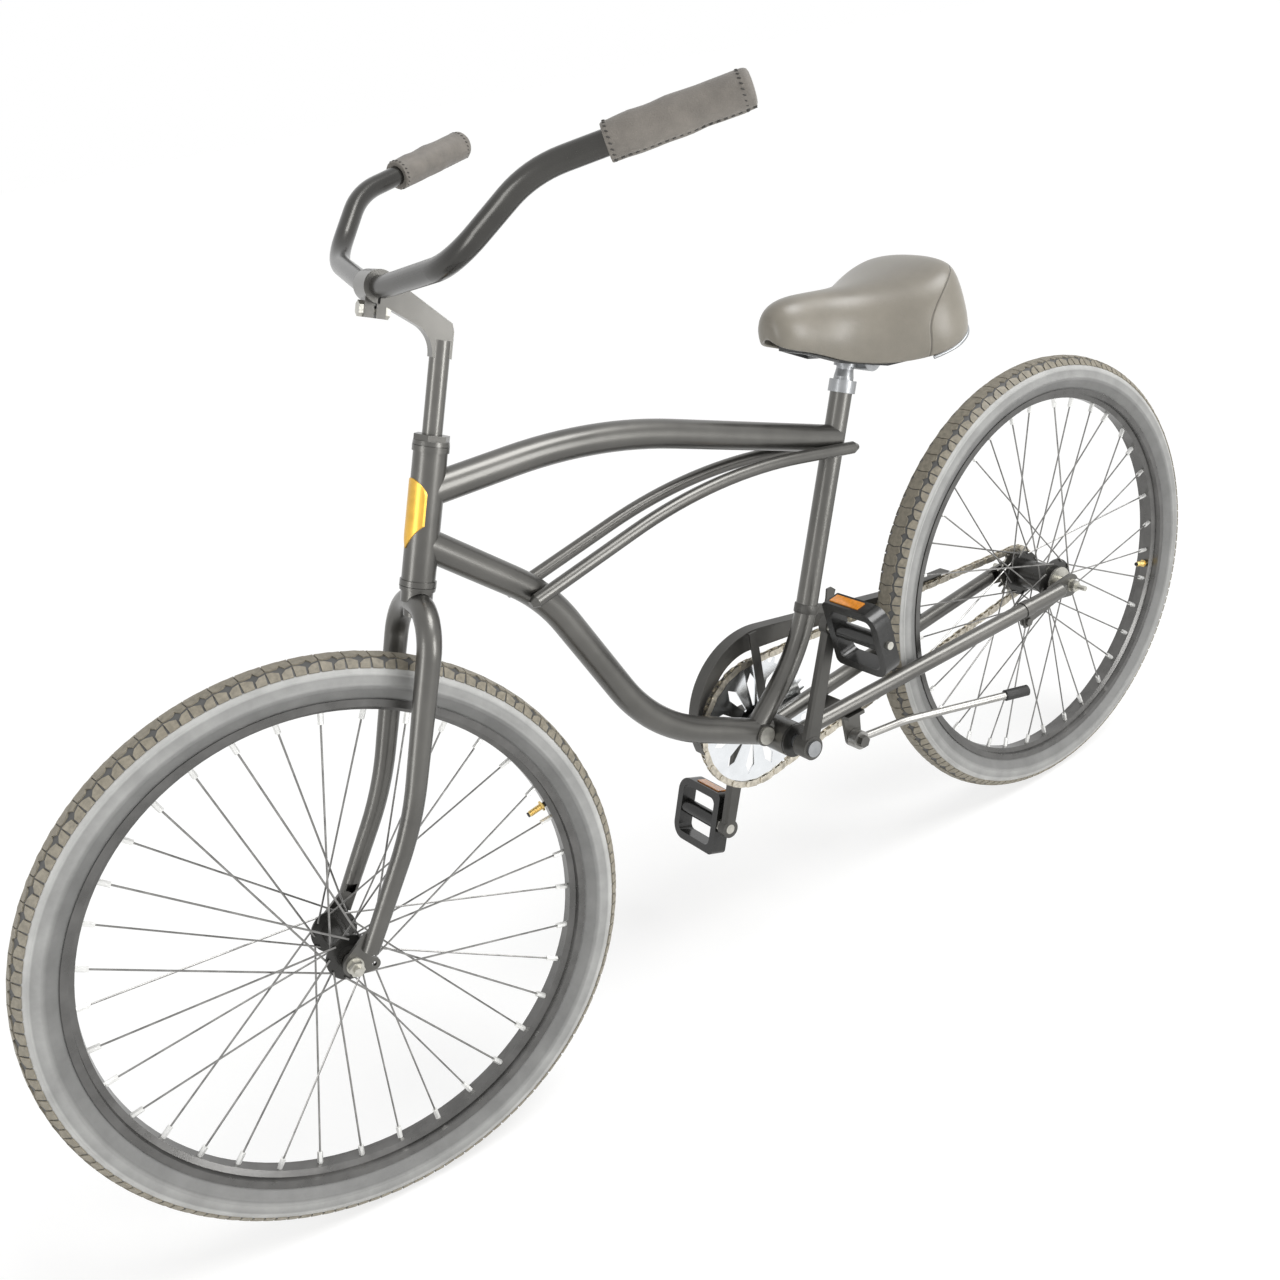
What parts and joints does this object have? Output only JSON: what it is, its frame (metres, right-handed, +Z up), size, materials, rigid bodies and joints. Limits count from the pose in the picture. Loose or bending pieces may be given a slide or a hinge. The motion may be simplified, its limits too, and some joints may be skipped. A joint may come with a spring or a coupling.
{
  "type": "beach cruiser bicycle",
  "caption": "Beach cruiser bicycle with a curved twin-bar frame, swept-back handlebar, padded saddle, wide tyres, chain guard, coaster brake and kickstand; it steers, rolls and pedals.",
  "frame": {"origin": "on the ground, in the frame's middle plane, midway between the two wheel axles with the fork straight ahead", "axes": "+X forward, +Y to the rider's left, +Z up"},
  "size_m": [1.8306, 0.7126, 1.144],
  "materials": {
    "frame_paint": "satin black paint",
    "badge_gold": "gold-coloured plated shield",
    "bright_steel": "bright plating",
    "dark_steel": "black finish on steel",
    "zinc_steel": "zinc plating",
    "chain_steel": "oiled steel",
    "silver_alloy": "satin silver",
    "nipple_brass": "bright nickel",
    "rim_paint": "satin black",
    "spoke_steel": "black steel wire",
    "tyre_rubber": "matt black tread rubber",
    "tube_rubber": "black rubber",
    "grip_leather": "dark stitched leather look",
    "saddle_vinyl": "dark grey grained vinyl",
    "black_resin": "black moulded resin",
    "amber_lens": "amber reflector"
  },
  "bodies": {
    "frame": {"head_tube": "frame_paint", "top_tube": "frame_paint", "down_tube": "frame_paint", "seat_tube": "frame_paint", "bottom_bracket_shell": "frame_paint", "chainstay_left": "frame_paint", "chainstay_right": "frame_paint", "tank_bars": "frame_paint", "seat_clamp": "dark_steel", "head_badge": "badge_gold", "headset_cups": "dark_steel", "bottom_bracket_cups": "bright_steel", "chain_guard": "frame_paint", "chain": "chain_steel", "rear_axle": "zinc_steel", "rear_axle_nuts": "zinc_steel", "coaster_brake_arm": "frame_paint", "coaster_brake_shoes": "dark_steel", "kickstand_bracket": "frame_paint", "shell_plug": "black_resin"},
    "fork": {"fork": "frame_paint", "headset_races": "dark_steel", "headset_bearings": "zinc_steel", "front_axle": "zinc_steel", "front_axle_nuts": "zinc_steel"},
    "stem": {"stem": "frame_paint", "stem_bolts": "zinc_steel", "handlebar": "frame_paint", "grip_left": "grip_leather", "grip_right": "grip_leather"},
    "front_wheel": {"front_tyre": "tyre_rubber", "front_inner_tube": "tube_rubber", "front_rim": "rim_paint", "front_spokes": "spoke_steel", "front_nipples": "nipple_brass", "front_hub_shell": "rim_paint"},
    "rear_wheel": {"rear_tyre": "tyre_rubber", "rear_inner_tube": "tube_rubber", "rear_rim": "rim_paint", "rear_spokes": "spoke_steel", "rear_nipples": "nipple_brass", "rear_hub_shell": "rim_paint"},
    "driver": {"rear_sprocket": "zinc_steel", "coaster_driver": "dark_steel"},
    "crank": {"crank_spindle": "bright_steel", "crank_arm_left": "dark_steel", "crank_arm_right": "dark_steel", "chainring": "bright_steel", "pedal_spindles": "zinc_steel"},
    "pedal_left": {"pedal_left": "black_resin", "pedal_left_reflectors": "amber_lens"},
    "pedal_right": {"pedal_right": "black_resin", "pedal_right_reflectors": "amber_lens"},
    "saddle": {"seat_post": "bright_steel", "saddle_clamp": "dark_steel", "saddle_rails": "dark_steel", "saddle_base": "black_resin", "saddle_cover": "saddle_vinyl"},
    "kickstand": {"kickstand_leg": "silver_alloy", "kickstand_foot": "tube_rubber"}
  },
  "joints": [
    {"name": "steering", "type": "hinge", "parent": "frame", "child": "fork", "pos_m": [0.53919, 0, 0.3158], "axis": [-0.3584, 0, 0.9336], "range_deg": [-66.6, 83.4]},
    {"name": "stem_height", "type": "slide", "parent": "fork", "child": "stem", "axis": [-0.3584, 0, 0.9336], "range_m": [-0.05, 0.01]},
    {"name": "front_wheel_spin", "type": "hinge", "parent": "fork", "child": "front_wheel", "pos_m": [0.58352, -0.00701, 0.33282], "axis": [0.1364, 0.9893, 0.0524], "continuous": true},
    {"name": "rear_wheel_spin", "type": "hinge", "parent": "frame", "child": "rear_wheel", "pos_m": [-0.584, 0, 0.333], "axis": [0, 1, 0], "continuous": true},
    {"name": "crank_spin", "type": "hinge", "parent": "frame", "child": "crank", "pos_m": [-0.047, 0, 0.31], "axis": [0, 1, 0], "continuous": true, "deforming": ["chain"]},
    {"name": "rear_sprocket_spin", "type": "hinge", "parent": "frame", "child": "driver", "pos_m": [-0.584, 0, 0.333], "axis": [0, 1, 0], "continuous": true},
    {"name": "left_pedal_spin", "type": "hinge", "parent": "crank", "child": "pedal_left", "pos_m": [-0.10072, 0.13, 0.46601], "axis": [0, 1, 0], "continuous": true},
    {"name": "right_pedal_spin", "type": "hinge", "parent": "crank", "child": "pedal_right", "pos_m": [0.00672, -0.13, 0.15399], "axis": [0, 1, 0], "continuous": true},
    {"name": "kickstand_swing", "type": "hinge", "parent": "frame", "child": "kickstand", "pos_m": [-0.152, 0.04, 0.264], "axis": [0, -1, 0], "range_deg": [0, 80]},
    {"name": "seat_height", "type": "slide", "parent": "frame", "child": "saddle", "axis": [-0.3681, 0, 0.9298], "range_m": [-0.01, 0.12]}
  ],
  "couplings": [
    {"joint": "rear_sprocket_spin", "follows": "crank_spin", "ratio": 2.4444}
  ]
}
